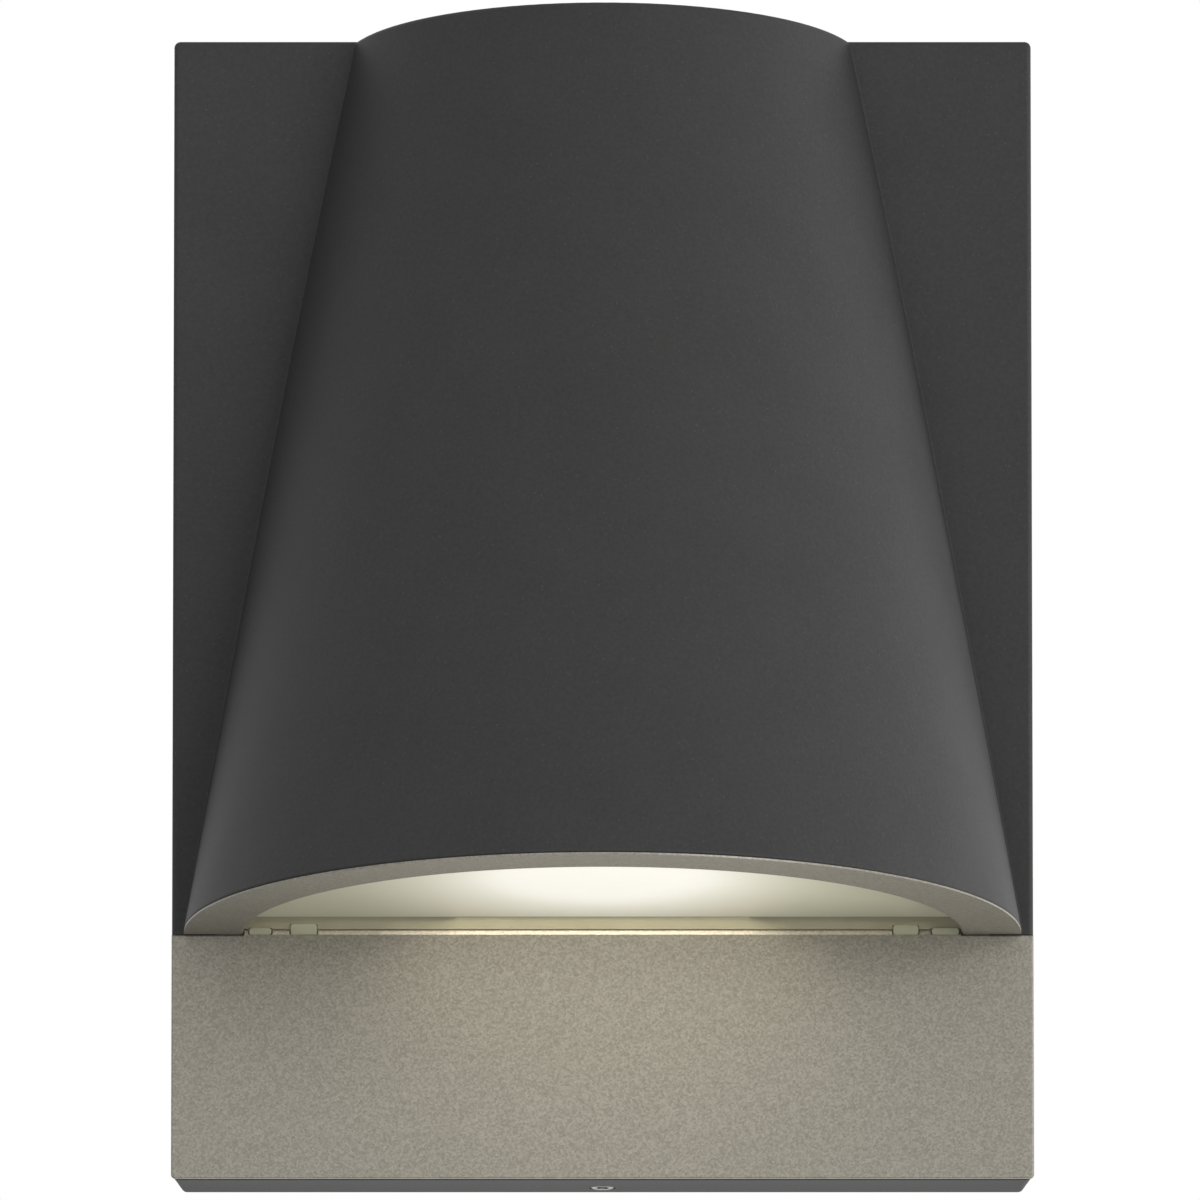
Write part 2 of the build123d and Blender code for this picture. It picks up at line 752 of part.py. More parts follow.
# Earth lead ends in a ring tag held on the heat plate by the earth screw
tag_thick = 0.8
earth_drop = cover_front + terminal_depth + 1.5
with BuildPart() as earth_lead:
    wire(
        [
            (0, -supply_depth, terminal_high),
            (0, -supply_depth, terminal_high + 4.5),
            (0, -earth_drop, terminal_high + 4.5),
            (0, -earth_drop, heat_top + 1),
            (0, 4.2 + earth_point[1], heat_top + 1),
        ],
        [3, 3, 3],
    )
    with BuildSketch(level(heat_top)):
        with Locations(earth_point):
            Circle(4)
        with Locations((0, 4 + earth_point[1])):
            Rectangle(2.4, 5)
    extrude(amount=tag_thick)
    drill(level(heat_top - 1), [earth_point], M4 + screw_clear, 5)
earth_lead.part.label = "earth_lead"
export_step(earth_lead.part, "parts/earth_lead.step")

with BuildPart() as earth_screw:
    pan_screws(
        upside_down(heat_top + tag_thick),
        [(earth_point[0], -earth_point[1])],
        M4,
        tag_thick + heat_thick - 0.2,
    )
earth_screw.part.label = "earth_screw"
export_step(earth_screw.part, "parts/earth_screw.step")

# Wall gasket: foam strip on the back rim of the housing
with BuildPart() as wall_gasket:
    with BuildSketch(upright(0)):
        gasket_half = box_width / 2 - box_draw_in - 0.6
        gasket_tall = box_height / 2 - box_draw_in - 0.6
        Rectangle(2 * gasket_half, 2 * gasket_tall)
        Rectangle(2 * gasket_half - 5, 2 * gasket_tall - 3.6, mode=Mode.SUBTRACT)
    extrude(amount=rim_depth)
wall_gasket.part.label = "wall_gasket"
export_step(wall_gasket.part, "parts/wall_gasket.step")

# Wall bracket: bent steel cross with a hook at the top and a foot for the lock screw
with BuildPart() as wall_bracket:
    with BuildSketch(upright(0)):
        Rectangle(crossbar_width, crossbar_height)
        with Locations((0, (strap_top + strap_bottom) / 2)):
            Rectangle(2 * strap_half, strap_top - strap_bottom)
        fillet(vertices().group_by(Axis.X)[0] + vertices().group_by(Axis.X)[-1], 4)
        with Locations((-bolt_spacing / 2, 0), (bolt_spacing / 2, 0)):
            SlotOverall(slot_length, slot_width, mode=Mode.SUBTRACT)
        with Locations((0, inlet_z)):
            Circle(cable_hole, mode=Mode.SUBTRACT)
        with Locations(bracket_earth_point):
            Circle(M4 + screw_clear, mode=Mode.SUBTRACT)
    extrude(amount=bracket_thick)
    with BuildSketch(level(strap_top - bracket_thick)):
        with Locations((0, -hook_reach / 2)):
            Rectangle(2 * strap_half, hook_reach)
    extrude(amount=bracket_thick)
    with BuildSketch(level(strap_bottom)):
        with Locations((0, -foot_reach / 2)):
            Rectangle(2 * strap_half, foot_reach)
    extrude(amount=bracket_thick)
    bend_edges = wall_bracket.edges().filter_by(Axis.X).filter_by(
        lambda e: abs(e.center().Y) < 0.01 and e.center().Z in (strap_top, strap_bottom)
    )
    fillet(bend_edges, bend)
wall_bracket.part.label = "wall_bracket"
export_step(wall_bracket.part, "parts/wall_bracket.step")

with BuildPart() as bracket_earth_screw:
    pan_screws(
        inward(bracket_thick),
        [(-bracket_earth_point[0], bracket_earth_point[1])],
        M4,
        bracket_thick - 0.1,
    )
bracket_earth_screw.part.label = "bracket_earth_screw"
export_step(bracket_earth_screw.part, "parts/bracket_earth_screw.step")

# Lock screw: grub screw with a hexagon socket
with BuildPart() as lock_screw:
    with BuildSketch(level(lock_low)):
        with Locations((0, -lock_depth)):
            Circle(lock_radius)
    extrude(amount=lock_high - lock_low)
    chamfer(lock_screw.edges().filter_by(GeomType.CIRCLE), 0.35)
    with BuildSketch(level(lock_low)):
        with Locations((0, -lock_depth)):
            RegularPolygon(1.1, 6)
    extrude(amount=2.2, mode=Mode.SUBTRACT)
lock_screw.part.label = "lock_screw"
export_step(lock_screw.part, "parts/lock_screw.step")
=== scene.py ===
import math
import bpy
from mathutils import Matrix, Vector


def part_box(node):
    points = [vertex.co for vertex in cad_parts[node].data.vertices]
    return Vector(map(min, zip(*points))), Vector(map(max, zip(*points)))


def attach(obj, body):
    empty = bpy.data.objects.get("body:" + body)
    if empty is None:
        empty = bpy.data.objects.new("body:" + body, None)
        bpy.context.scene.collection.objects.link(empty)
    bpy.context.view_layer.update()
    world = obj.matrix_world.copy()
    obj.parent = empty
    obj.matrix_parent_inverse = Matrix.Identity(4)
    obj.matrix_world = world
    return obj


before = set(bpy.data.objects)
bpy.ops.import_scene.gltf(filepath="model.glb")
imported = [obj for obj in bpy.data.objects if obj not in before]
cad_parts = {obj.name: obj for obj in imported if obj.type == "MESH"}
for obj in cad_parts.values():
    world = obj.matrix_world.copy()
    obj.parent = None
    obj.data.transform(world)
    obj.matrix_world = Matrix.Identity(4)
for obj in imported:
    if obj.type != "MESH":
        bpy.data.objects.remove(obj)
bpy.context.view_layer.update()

# Wall bracket: a cross of 2 mm steel sheet, pressed and bent, with a hook at the top and a foot
# for the lock screw. Two bolts through its slots hold it to the wall, and the light hangs on it.
millimetre = 0.001


def linear(hex_colour):
    """sRGB hex colour to the linear colour that Blender's sockets take."""
    channels = [int(hex_colour[i:i + 2], 16) / 255 for i in (1, 3, 5)]
    return [c / 12.92 if c <= 0.04045 else ((c + 0.055) / 1.055) ** 2.4 for c in channels] + [1.0]


def add_node(tree, kind, settings=None, values=None, links=None):
    """Adds one shader node, with its settings, socket values and links from earlier nodes."""
    node = tree.nodes.new(kind)
    for name, value in (settings or {}).items():
        setattr(node, name, value)
    for socket, value in (values or {}).items():
        node.inputs[socket].default_value = value
    for socket, (source, output) in (links or {}).items():
        tree.links.new(source.outputs[output], node.inputs[socket])
    return node


def new_finish(name):
    """Starts a finish: an empty material, its nodes and the object's own coordinates in metres."""
    finish = bpy.data.materials.new(name)
    finish.use_nodes = True
    finish.node_tree.nodes.clear()
    place = add_node(finish.node_tree, "ShaderNodeTexCoord")
    return finish, finish.node_tree, place


def dress(finish, *pieces):
    """Gives a finish to solids of the frame."""
    for piece in pieces:
        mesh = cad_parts[piece].data
        mesh.materials.clear()
        mesh.materials.append(finish)


# Zinc plating on rolled sheet: a soft grey metal with faint streaks along the rolling direction
zinc_plate, tree, place = new_finish("zinc_plated_steel")
rolling_streak = 1.2 * millimetre
streak_stretch = (1.0, 1.0, 0.08)
stretched = add_node(
    tree,
    "ShaderNodeMapping",
    values={"Scale": streak_stretch},
    links={"Vector": (place, "Object")},
)
streaks = add_node(
    tree,
    "ShaderNodeTexNoise",
    values={"Scale": 1 / rolling_streak, "Detail": 4.0},
    links={"Vector": (stretched, 0)},
)
streak_tone = add_node(tree, "ShaderNodeValToRGB", links={"Fac": (streaks, "Fac")})
streak_tone.color_ramp.elements[0].color = linear("#9a9ea2")
streak_tone.color_ramp.elements[1].color = linear("#c4c6c6")
streak_gloss = add_node(
    tree,
    "ShaderNodeMapRange",
    values={"To Min": 0.28, "To Max": 0.46},
    links={"Value": (streaks, "Fac")},
)
metal = add_node(
    tree,
    "ShaderNodeBsdfPrincipled",
    values={"Metallic": 1.0},
    links={"Base Color": (streak_tone, "Color"), "Roughness": (streak_gloss, "Result")},
)
add_node(tree, "ShaderNodeOutputMaterial", links={"Surface": (metal, "BSDF")})
dress(zinc_plate, "wall_bracket")

# Earth screws: one on the bracket and one on the heat plate, cross-head M4 screws of steel.
# They are dyed green over the zinc, so that the earth point is known at a glance.
# The dye lets the metal shine through and lies a little unevenly.
green_plate, tree, place = new_finish("green_dyed_zinc")
dye_patch = 1.5 * millimetre
patches = add_node(
    tree,
    "ShaderNodeTexNoise",
    values={"Scale": 1 / dye_patch, "Detail": 2.0},
    links={"Vector": (place, "Object")},
)
dye = add_node(tree, "ShaderNodeValToRGB", links={"Fac": (patches, "Fac")})
dye.color_ramp.elements[0].color = linear("#1f6a3c")
dye.color_ramp.elements[1].color = linear("#3f8f58")
metal = add_node(
    tree,
    "ShaderNodeBsdfPrincipled",
    values={"Metallic": 0.8, "Roughness": 0.32},
    links={"Base Color": (dye, "Color")},
)
add_node(tree, "ShaderNodeOutputMaterial", links={"Surface": (metal, "BSDF")})
dress(green_plate, "bracket_earth_screw", "earth_screw")

# Housing: the back box and the tapered half-round hood, one aluminium die casting. It is coated
# with a fine-texture charcoal powder that is baked on, so no metal shows on the outside.
charcoal_coat, tree, place = new_finish("charcoal_powder_coat")
# The powder leaves tiny rounded bumps, a matt sheen and a few pale specks. The real bumps are
# about 0.2 mm and the specks 0.1 mm, and both are drawn coarser so that they show.
powder_bump = 0.6 * millimetre
powder_cloud = 12 * millimetre
speck_spacing = 1.1 * millimetre
bump_height = 0.06 * millimetre
bumps = add_node(
    tree,
    "ShaderNodeTexNoise",
    values={"Scale": 1 / powder_bump, "Detail": 3.0, "Roughness": 0.55},
    links={"Vector": (place, "Object")},
)
clouds = add_node(
    tree,
    "ShaderNodeTexNoise",
    values={"Scale": 1 / powder_cloud, "Detail": 2.0},
    links={"Vector": (place, "Object")},
)
mottle = add_node(
    tree,
    "ShaderNodeMix",
    settings={"data_type": "FLOAT"},
    values={"Factor": 0.25},
    links={"A": (bumps, "Fac"), "B": (clouds, "Fac")},
)
tone = add_node(tree, "ShaderNodeValToRGB", links={"Fac": (mottle, "Result")})
tone.color_ramp.elements[0].position = 0.25
tone.color_ramp.elements[0].color = linear("#2c2c2c")
tone.color_ramp.elements[1].position = 0.75
tone.color_ramp.elements[1].color = linear("#363636")
specks = add_node(
    tree,
    "ShaderNodeTexVoronoi",
    values={"Scale": 1 / speck_spacing},
    links={"Vector": (place, "Object")},
)
speck_mask = add_node(
    tree,
    "ShaderNodeMapRange",
    values={"From Min": 0.1, "From Max": 0.04, "To Min": 0.0, "To Max": 0.35},
    links={"Value": (specks, "Distance")},
)
speckled = add_node(
    tree,
    "ShaderNodeMix",
    settings={"data_type": "RGBA"},
    values={"B": linear("#6a6a69")},
    links={"Factor": (speck_mask, "Result"), "A": (tone, "Color")},
)
relief = add_node(
    tree,
    "ShaderNodeBump",
    values={"Strength": 0.35, "Distance": bump_height},
    links={"Height": (bumps, "Fac")},
)
powder = add_node(
    tree,
    "ShaderNodeBsdfPrincipled",
    values={"Roughness": 0.55, "Specular IOR Level": 0.17},
    links={"Base Color": (speckled, "Result"), "Normal": (relief, "Normal")},
)
add_node(tree, "ShaderNodeOutputMaterial", links={"Surface": (powder, "BSDF")})
dress(charcoal_coat, "housing")

# Heat plate and back cover: sawn and punched aluminium sheet. The heat plate is screwed under
# two lugs in the hood and carries the LED board. The cover shuts the dry room at the back.
mill_aluminium, tree, place = new_finish("mill_finish_aluminium")
# Left as it comes from the mill: a pale metal with fine lines along the rolling direction
mill_line = 0.9 * millimetre
line_stretch = (0.06, 1.0, 1.0)
drawn = add_node(
    tree,
    "ShaderNodeMapping",
    values={"Scale": line_stretch},
    links={"Vector": (place, "Object")},
)
lines = add_node(
    tree,
    "ShaderNodeTexNoise",
    values={"Scale": 1 / mill_line, "Detail": 5.0},
    links={"Vector": (drawn, 0)},
)
line_tone = add_node(tree, "ShaderNodeValToRGB", links={"Fac": (lines, "Fac")})
line_tone.color_ramp.elements[0].color = linear("#b4b6b8")
line_tone.color_ramp.elements[1].color = linear("#d8d9da")
metal = add_node(
    tree,
    "ShaderNodeBsdfPrincipled",
    values={"Metallic": 1.0, "Roughness": 0.36},
    links={"Base Color": (line_tone, "Color")},
)
add_node(tree, "ShaderNodeOutputMaterial", links={"Surface": (metal, "BSDF")})
dress(mill_aluminium, "heat_plate", "back_cover")

# Thermal pad: a soft sheet of silicone filled with ceramic, cut to the board's size and pressed
# between board and heat plate. The filler makes it dull and grainy.
gap_pad, tree, place = new_finish("filled_silicone_pad")
filler_grain = 0.4 * millimetre
grains = add_node(
    tree,
    "ShaderNodeTexNoise",
    values={"Scale": 1 / filler_grain},
    links={"Vector": (place, "Object")},
)
grain_tone = add_node(tree, "ShaderNodeValToRGB", links={"Fac": (grains, "Fac")})
grain_tone.color_ramp.elements[0].color = linear("#7f868c")
grain_tone.color_ramp.elements[1].color = linear("#9aa1a6")
soft = add_node(
    tree,
    "ShaderNodeBsdfPrincipled",
    values={"Roughness": 0.75},
    links={"Base Color": (grain_tone, "Color")},
)
add_node(tree, "ShaderNodeOutputMaterial", links={"Surface": (soft, "BSDF")})
dress(gap_pad, "thermal_pad")

# LED board: a circuit board with an aluminium core, held under the heat plate by its screws.
# It is printed with white solder mask, a hard ink with a low gloss and a slight mottle.
white_mask, tree, place = new_finish("white_solder_mask")
mask_mottle = 4 * millimetre
mottle = add_node(
    tree,
    "ShaderNodeTexNoise",
    values={"Scale": 1 / mask_mottle},
    links={"Vector": (place, "Object")},
)
mask_tone = add_node(tree, "ShaderNodeValToRGB", links={"Fac": (mottle, "Fac")})
mask_tone.color_ramp.elements[0].color = linear("#dcdcd6")
mask_tone.color_ramp.elements[1].color = linear("#ecece6")
ink = add_node(
    tree,
    "ShaderNodeBsdfPrincipled",
    values={"Roughness": 0.35},
    links={"Base Color": (mask_tone, "Color")},
)
add_node(tree, "ShaderNodeOutputMaterial", links={"Surface": (ink, "BSDF")})
dress(white_mask, "led_board")

# LED chips: yellow phosphor in silicone on white ceramic, soldered to the board. They are lit
# and give a warm white light. The phosphor's grains are drawn coarser so that they show.
phosphor, tree, place = new_finish("warm_white_phosphor")
phosphor_grain = 0.3 * millimetre
grains = add_node(
    tree,
    "ShaderNodeTexNoise",
    values={"Scale": 1 / phosphor_grain},
    links={"Vector": (place, "Object")},
)
grain_tone = add_node(tree, "ShaderNodeValToRGB", links={"Fac": (grains, "Fac")})
grain_tone.color_ramp.elements[0].color = linear("#d9b548")
grain_tone.color_ramp.elements[1].color = linear("#f2d983")
lit = add_node(
    tree,
    "ShaderNodeBsdfPrincipled",
    values={"Roughness": 0.4, "Emission Color": linear("#fff0d2"), "Emission Strength": 6.0},
    links={"Base Color": (grain_tone, "Color")},
)
add_node(tree, "ShaderNodeOutputMaterial", links={"Surface": (lit, "BSDF")})
dress(phosphor, "led_chips")

# Reflector: a shade of white polycarbonate, vacuum formed, held between the board and the glass.
# Forming leaves a smooth satin surface with a very shallow ripple.
white_shade, tree, place = new_finish("white_polycarbonate")
forming_ripple = 6 * millimetre
ripple_height = 0.2 * millimetre
ripple = add_node(
    tree,
    "ShaderNodeTexNoise",
    values={"Scale": 1 / forming_ripple},
    links={"Vector": (place, "Object")},
)
ripple_relief = add_node(
    tree,
    "ShaderNodeBump",
    values={"Strength": 0.1, "Distance": ripple_height},
    links={"Height": (ripple, "Fac")},
)
moulded = add_node(
    tree,
    "ShaderNodeBsdfPrincipled",
    values={"Base Color": linear("#ecebe4"), "Roughness": 0.4},
    links={"Normal": (ripple_relief, "Normal")},
)
add_node(tree, "ShaderNodeOutputMaterial", links={"Surface": (moulded, "BSDF")})
dress(white_shade, "reflector")

# Driver and terminal block: the driver is a closed power supply in a case of pale ABS, screwed
# to two standoffs of the cover. The terminal block beside it is moulded in white polyamide.
# Both moulds are spark-eroded, which gives the plastic a fine matt grain.
spark_grain = 0.7 * millimetre
spark_height = 0.05 * millimetre
for name, shade, piece in (
    ("pale_grey_abs", "#cfcfca", "driver"),
    ("white_polyamide", "#dedcd2", "terminal_block"),
):
    plastic, tree, place = new_finish(name)
    spark = add_node(
        tree,
        "ShaderNodeTexNoise",
        values={"Scale": 1 / spark_grain},
        links={"Vector": (place, "Object")},
    )
    spark_relief = add_node(
        tree,
        "ShaderNodeBump",
        values={"Strength": 0.25, "Distance": spark_height},
        links={"Height": (spark, "Fac")},
    )
    moulded = add_node(
        tree,
        "ShaderNodeBsdfPrincipled",
        values={"Base Color": linear(shade), "Roughness": 0.5},
        links={"Normal": (spark_relief, "Normal")},
    )
    add_node(tree, "ShaderNodeOutputMaterial", links={"Surface": (moulded, "BSDF")})
    dress(plastic, piece)

# Terminal screws: slotted screws turned from brass rod, which clamp the wires in the block.
# Handling has dulled the yellow metal in patches.
turned_brass, tree, place = new_finish("turned_brass")
tarnish_patch = 1.2 * millimetre
tarnish = add_node(
    tree,
    "ShaderNodeTexNoise",
    values={"Scale": 1 / tarnish_patch},
    links={"Vector": (place, "Object")},
)
tarnish_tone = add_node(tree, "ShaderNodeValToRGB", links={"Fac": (tarnish, "Fac")})
tarnish_tone.color_ramp.elements[0].color = linear("#a5843c")
tarnish_tone.color_ramp.elements[1].color = linear("#cdb06a")
metal = add_node(
    tree,
    "ShaderNodeBsdfPrincipled",
    values={"Metallic": 1.0, "Roughness": 0.3},
    links={"Base Color": (tarnish_tone, "Color")},
)
add_node(tree, "ShaderNodeOutputMaterial", links={"Surface": (metal, "BSDF")})
dress(turned_brass, "terminal_screws")

# Leads: stranded copper in a thin sleeve of soft PVC, one colour for each job. The sleeve is
# extruded, so its tone wavers a little along the wire. The earth lead is green with yellow in it,
# which a narrower ramp between its two colours gives.
for name, dark, pale, patch, ramp_edge, piece in (
    ("brown_pvc_sleeve", "#512c15", "#63391f", 3 * millimetre, 0.0, "live_lead"),
    ("blue_pvc_sleeve", "#26488f", "#3058a6", 3 * millimetre, 0.0, "neutral_lead"),
    ("green_yellow_pvc_sleeve", "#2f7a34", "#cbb934", 1.6 * millimetre, 0.46, "earth_lead"),
    ("red_pvc_sleeve", "#9b1f19", "#b32a22", 3 * millimetre, 0.0, "led_lead_positive"),
    ("black_pvc_sleeve", "#181818", "#232323", 3 * millimetre, 0.0, "led_lead_negative"),
):
    sleeve, tree, place = new_finish(name)
    wavering = add_node(
        tree,
        "ShaderNodeTexNoise",
        values={"Scale": 1 / patch, "Detail": 1.0},
        links={"Vector": (place, "Object")},
    )
    sleeve_tone = add_node(tree, "ShaderNodeValToRGB", links={"Fac": (wavering, "Fac")})
    sleeve_tone.color_ramp.elements[0].position = ramp_edge
    sleeve_tone.color_ramp.elements[0].color = linear(dark)
    sleeve_tone.color_ramp.elements[1].position = 1.0 - ramp_edge
    sleeve_tone.color_ramp.elements[1].color = linear(pale)
    pvc = add_node(
        tree,
        "ShaderNodeBsdfPrincipled",
        values={"Roughness": 0.42},
        links={"Base Color": (sleeve_tone, "Color")},
    )
    add_node(tree, "ShaderNodeOutputMaterial", links={"Surface": (pvc, "BSDF")})
    dress(sleeve, piece)

# Seals: a die-cut ring of grey silicone under the cover, a strip of closed-cell black foam glued
# to the back rim that seals against the wall, and a rubber grommet where the supply cable enters.
# All are dull, and their cells or filler break up the tone.
for name, dark, pale, cell, piece in (
    ("grey_silicone_rubber", "#7a7a75", "#8d8c86", 0.9 * millimetre, "cover_gasket"),
    ("black_closed_cell_foam", "#141414", "#2a2a2a", 0.6 * millimetre, "wall_gasket"),
    ("black_epdm_rubber", "#1b1b1b", "#262626", 0.9 * millimetre, "cable_grommet"),
):
    rubber, tree, place = new_finish(name)
    cells = add_node(
        tree,
        "ShaderNodeTexNoise",
        values={"Scale": 1 / cell},
        links={"Vector": (place, "Object")},
    )
    cell_tone = add_node(tree, "ShaderNodeValToRGB", links={"Fac": (cells, "Fac")})
    cell_tone.color_ramp.elements[0].color = linear(dark)
    cell_tone.color_ramp.elements[1].color = linear(pale)
    matt = add_node(
        tree,
        "ShaderNodeBsdfPrincipled",
        values={"Roughness": 0.7},
        links={"Base Color": (cell_tone, "Color")},
    )
    add_node(tree, "ShaderNodeOutputMaterial", links={"Surface": (matt, "BSDF")})
    dress(rubber, piece)

# Screws: stainless pan-head screws with a cross recess, cold formed. The lock screw is a grub
# screw of the same steel, turned up through the underside against the bracket's foot.
# Tumbling brightens the steel and leaves marks that spread its gloss unevenly.
bright_steel, tree, place = new_finish("tumbled_stainless_steel")
tumble_mark = 0.5 * millimetre
marks = add_node(
    tree,
    "ShaderNodeTexNoise",
    values={"Scale": 1 / tumble_mark, "Detail": 3.0},
    links={"Vector": (place, "Object")},
)
mark_gloss = add_node(
    tree,
    "ShaderNodeMapRange",
    values={"To Min": 0.2, "To Max": 0.4},
    links={"Value": (marks, "Fac")},
)
metal = add_node(
    tree,
    "ShaderNodeBsdfPrincipled",
    values={"Base Color": linear("#c9c8c4"), "Metallic": 1.0},
    links={"Roughness": (mark_gloss, "Result")},
)
add_node(tree, "ShaderNodeOutputMaterial", links={"Surface": (metal, "BSDF")})
dress(
    bright_steel,
    "heat_plate_screws",
    "led_board_screws",
    "driver_screws",
    "cover_screws",
    "bezel_screws",
    "panel_screws",
    "lock_screw",
)

# Lens glass: a D of 4 mm toughened glass, acid-etched to a satin on the lamp side. It lies on the
# gasket. The glow that the chips above it would give it is painted on the glass as emitted light.
satin_glass, tree, place = new_finish("satin_etched_glass")
# The painted glow is one soft warm patch, as the etched side spreads the chips' light, and fades
# to a dull green-grey at the rim. The patch levels off in the middle instead of clipping to white.
board_low, board_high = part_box("led_board")
bezel_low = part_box("lens_bezel")[0]
lamp_middle = (board_low + board_high) / 2
glow_behind_front = 32.5 * millimetre
glow_centre = Vector((lamp_middle.x, bezel_low.y + glow_behind_front, 0.0))
spread_across = 18.5 * millimetre
spread_deep = 21.5 * millimetre
spread_up = 1000.0
glow_peak = 0.95
glow_rim = 0.115
brightest = 0.705
level_off = 0.12
from_lamp = add_node(
    tree,
    "ShaderNodeMapping",
    settings={"vector_type": "TEXTURE"},
    values={"Location": glow_centre, "Scale": (spread_across, spread_deep, spread_up)},
    links={"Vector": (place, "Object")},
)
away_squared = add_node(
    tree,
    "ShaderNodeVectorMath",
    settings={"operation": "DOT_PRODUCT"},
    links={0: (from_lamp, 0), 1: (from_lamp, 0)},
)
fall_off = add_node(
    tree,
    "ShaderNodeMath",
    settings={"operation": "POWER"},
    values={0: math.exp(-0.5)},
    links={1: (away_squared, "Value")},
)
glow = add_node(tree, "ShaderNodeValToRGB", links={"Fac": (fall_off, 0)})
glow.color_ramp.elements[0].color = linear("#fffae2")
glow.color_ramp.elements[1].position = 0.7
glow.color_ramp.elements[1].color = linear("#fffdfb")
raw_strength = add_node(
    tree,
    "ShaderNodeMapRange",
    values={"To Min": glow_rim, "To Max": glow_peak},
    links={"Value": (fall_off, 0)},
)
strength = add_node(
    tree,
    "ShaderNodeMath",
    settings={"operation": "SMOOTH_MIN"},
    values={1: brightest, 2: level_off},
    links={0: (raw_strength, "Result")},
)
# The glass gives off the painted glow itself, as emission, instead of letting the chips' light
# through.
glass = add_node(
    tree,
    "ShaderNodeBsdfPrincipled",
    values={
        "Base Color": linear("#86856f"),
        "Roughness": 0.35,
        "IOR": 1.52,
        "Specular IOR Level": 0.3,
    },
    links={"Emission Color": (glow, "Color"), "Emission Strength": (strength, 0)},
)
add_node(tree, "ShaderNodeOutputMaterial", links={"Surface": (glass, "BSDF")})
dress(satin_glass, "lens_glass")

# Light from the lens: what it throws down on the bezel and the panel is far stronger than its
# glow looks in a picture, so a lamp just below the glass gives it. Two narrow ones do the same
# for the light that leaves the glass at its back and lies as a bright line on the panel's lip.
glass_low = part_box("lens_glass")[0]
panel_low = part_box("lower_panel")[0]
below_glass = (0.0, lamp_middle.y + 2 * millimetre, glass_low.z - 0.1 * millimetre)
above_lip = (-3 * millimetre, panel_low.y + 0.2 * millimetre, glass_low.z - 0.2 * millimetre)
for name, length, width, spread, power, spot in (
    ("lens_light", 75 * millimetre, 50 * millimetre, 150, 0.0185, below_glass),
    ("lens_edge_light", 64 * millimetre, 1 * millimetre, 90, 0.00058, above_lip),
    ("lens_edge_spill", 112 * millimetre, 1 * millimetre, 90, 0.0005, above_lip),
):
    lamp = bpy.data.lights.new(name, "AREA")
    lamp.shape = "ELLIPSE"
    lamp.size = length
    lamp.size_y = width
    lamp.spread = math.radians(spread)
    lamp.energy = power
    lamp.color = linear("#fff4df")[:3]
    lens_lamp = bpy.data.objects.new(name, lamp)
    bpy.context.scene.collection.objects.link(lens_lamp)
    lens_lamp.location = spot
    lens_lamp.visible_camera = False
    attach(lens_lamp, "light")

# Lens gasket and pads: moulded silicone. The gasket is a flat ring under the glass with an apron
# in front of the bezel's bar, and the pads sit on the bar at the corners of the glass.
# Light sinks into the rubber: the gasket has an olive tint, and the clear pads look pale.
clouding = 4 * millimetre
light_depth = 1 * millimetre
for name, dark, pale, piece in (
    ("olive_silicone", "#8a8773", "#999682", "lens_gasket"),
    ("clear_silicone", "#9d9e88", "#b0b19b", "lens_pads"),
):
    silicone, tree, place = new_finish(name)
    cloudy = add_node(
        tree,
        "ShaderNodeTexNoise",
        values={"Scale": 1 / clouding},
        links={"Vector": (place, "Object")},
    )
    cloud_tone = add_node(tree, "ShaderNodeValToRGB", links={"Fac": (cloudy, "Fac")})
    cloud_tone.color_ramp.elements[0].color = linear(dark)
    cloud_tone.color_ramp.elements[1].color = linear(pale)
    gel = add_node(
        tree,
        "ShaderNodeBsdfPrincipled",
        values={
            "Roughness": 0.35,
            "IOR": 1.41,
            "Subsurface Weight": 0.6,
            "Subsurface Radius": (light_depth, light_depth, light_depth),
        },
        links={"Base Color": (cloud_tone, "Color")},
    )
    add_node(tree, "ShaderNodeOutputMaterial", links={"Surface": (gel, "BSDF")})
    dress(silicone, piece)

# Lens bezel and lower panel: the bezel is a cast aluminium frame screwed into the hood's mouth,
# the panel a pressed aluminium front below it. Both have the same metallic powder coat.
champagne_coat, tree, place = new_finish("champagne_metallic_powder_coat")
# Flakes of mica in the powder give a fine sparkle over a warm grey. Real flakes are about
# 0.05 mm across, and are drawn coarser so that they show.
flake = 0.3 * millimetre
flake_height = 0.05 * millimetre
flakes = add_node(
    tree,
    "ShaderNodeTexVoronoi",
    values={"Scale": 1 / flake},
    links={"Vector": (place, "Object")},
)
flake_shade = add_node(tree, "ShaderNodeSeparateColor", links={"Color": (flakes, "Color")})
grain = add_node(
    tree,
    "ShaderNodeTexNoise",
    values={"Scale": 1 / flake, "Detail": 3.0, "Roughness": 0.6},
    links={"Vector": (place, "Object")},
)
sparkle = add_node(
    tree,
    "ShaderNodeMix",
    settings={"data_type": "FLOAT"},
    values={"Factor": 0.5},
    links={"A": (flake_shade, "Red"), "B": (grain, "Fac")},
)
champagne = add_node(tree, "ShaderNodeValToRGB", links={"Fac": (sparkle, "Result")})
champagne.color_ramp.elements[0].position = 0.15
champagne.color_ramp.elements[0].color = linear("#69665c")
champagne.color_ramp.elements[1].position = 0.85
champagne.color_ramp.elements[1].color = linear("#8a867c")
flake_relief = add_node(
    tree,
    "ShaderNodeBump",
    values={"Strength": 0.3, "Distance": flake_height},
    links={"Height": (grain, "Fac")},
)
mica = add_node(
    tree,
    "ShaderNodeBsdfPrincipled",
    values={"Metallic": 0.35, "Roughness": 0.42},
    links={"Base Color": (champagne, "Color"), "Normal": (flake_relief, "Normal")},
)
add_node(tree, "ShaderNodeOutputMaterial", links={"Surface": (mica, "BSDF")})
dress(champagne_coat, "lens_bezel", "lower_panel")

